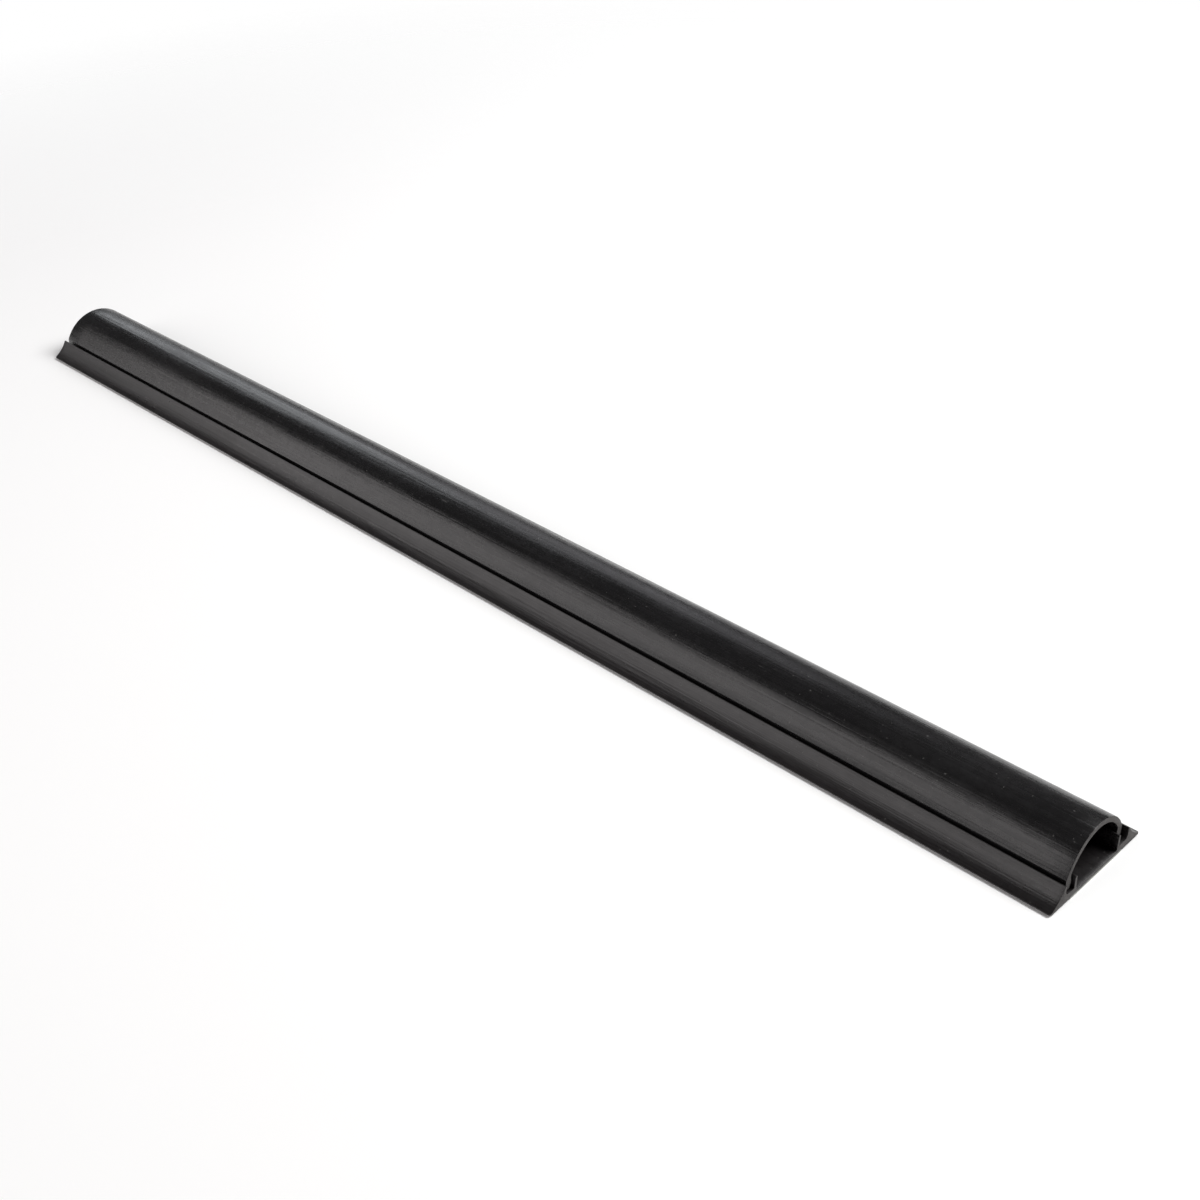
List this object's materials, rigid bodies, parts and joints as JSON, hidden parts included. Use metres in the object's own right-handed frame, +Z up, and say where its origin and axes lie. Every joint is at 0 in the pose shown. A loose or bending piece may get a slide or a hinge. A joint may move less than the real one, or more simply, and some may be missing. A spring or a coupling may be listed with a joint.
{
  "type": "floor cable protector ramp",
  "caption": "Half-round floor cable duct with ramp wings on both sides, a lift-off arched cover and a self-adhesive base.",
  "frame": {"origin": "middle of the duct's length and width, on the floor: the underside of the release liner", "axes": "+X along the duct, +Y across it from wing to wing, +Z up through the crown of the cover"},
  "size_m": [1, 0.084, 0.0332],
  "materials": {
    "black_pvc_base": "satin extruded, faint lengthwise die lines, matte sawn ends",
    "black_pvc_cover": "satin extruded, faint lengthwise die lines, light scuffs, matte sawn ends",
    "tape_foam": "closed-cell foam with cut edges",
    "liner_film": "pale siliconised release film"
  },
  "bodies": {
    "base": {"base_profile": "black_pvc_base", "mounting_tape": "tape_foam", "release_liner": "liner_film"},
    "cover": {"arched_cover": "black_pvc_cover"}
  },
  "joints": [
    {"name": "cover_lift", "type": "slide", "parent": "base", "child": "cover", "axis": [0, 0, 1], "range_m": [0, 0.06]}
  ]
}
